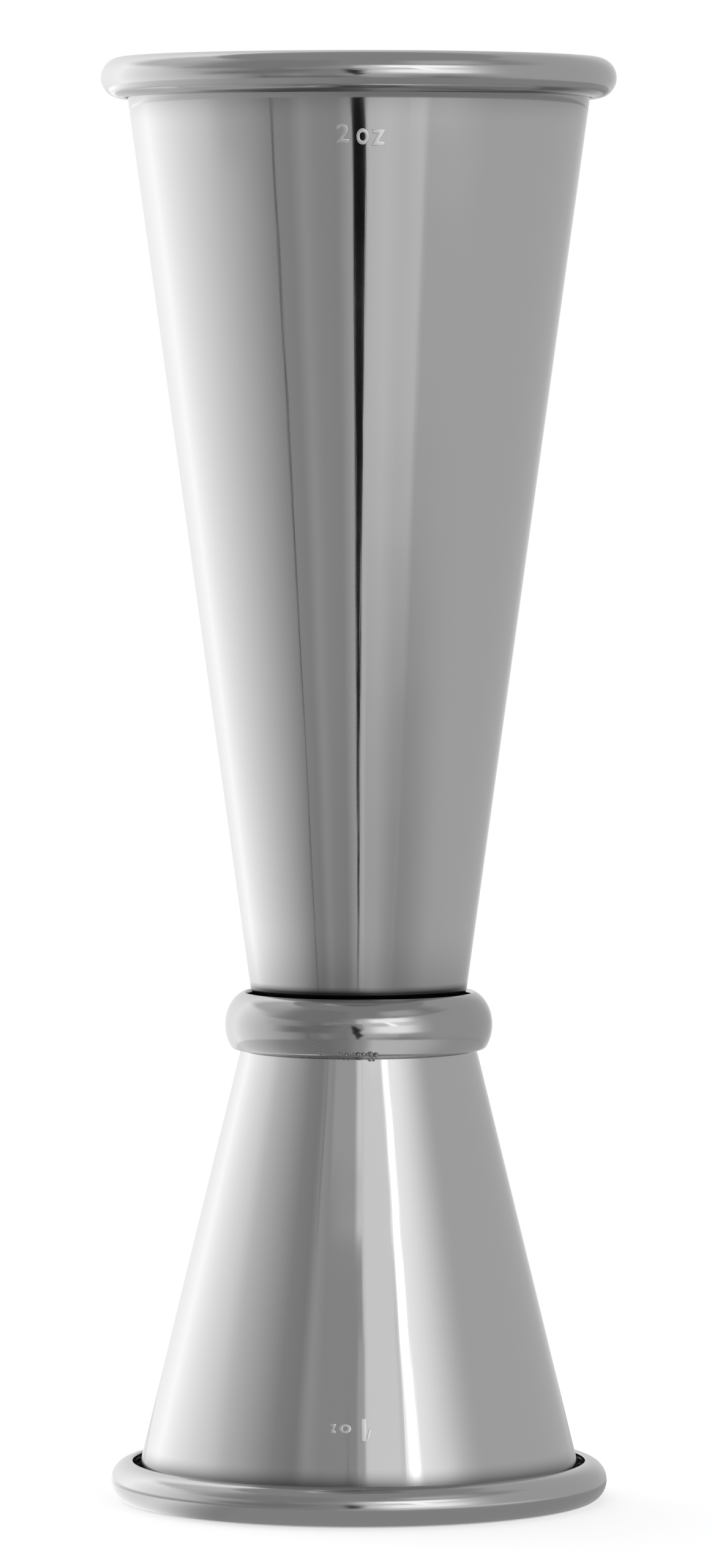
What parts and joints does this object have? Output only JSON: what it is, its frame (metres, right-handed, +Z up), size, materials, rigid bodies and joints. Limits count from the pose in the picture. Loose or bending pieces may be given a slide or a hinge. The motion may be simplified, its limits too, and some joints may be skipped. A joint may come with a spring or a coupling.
{
  "type": "cocktail jigger",
  "caption": "Double-ended bar measure in polished steel: a tall cone and a short inverted cone with rolled rims, joined base to base under a half-round waist ring.",
  "frame": {"origin": "middle of the circle that the jigger stands on, on the crest of the small cup's rim", "axes": "+Z up along the axis of both cones, from the small cup to the large cup; -Y towards the viewer, where the volume marks are"},
  "size_m": [0.0456, 0.0456, 0.1281],
  "materials": {
    "cup_steel": "spun sheet, mirror polished outside; satin inside, which is a guess",
    "ring_steel": "half-round wire, buffed",
    "solder": "tin-silver solder, as run"
  },
  "bodies": {
    "root": {"large_cup": "cup_steel", "small_cup": "cup_steel", "waist_ring": "ring_steel", "base_solder": "solder", "ring_solder": "solder"}
  },
  "joints": []
}
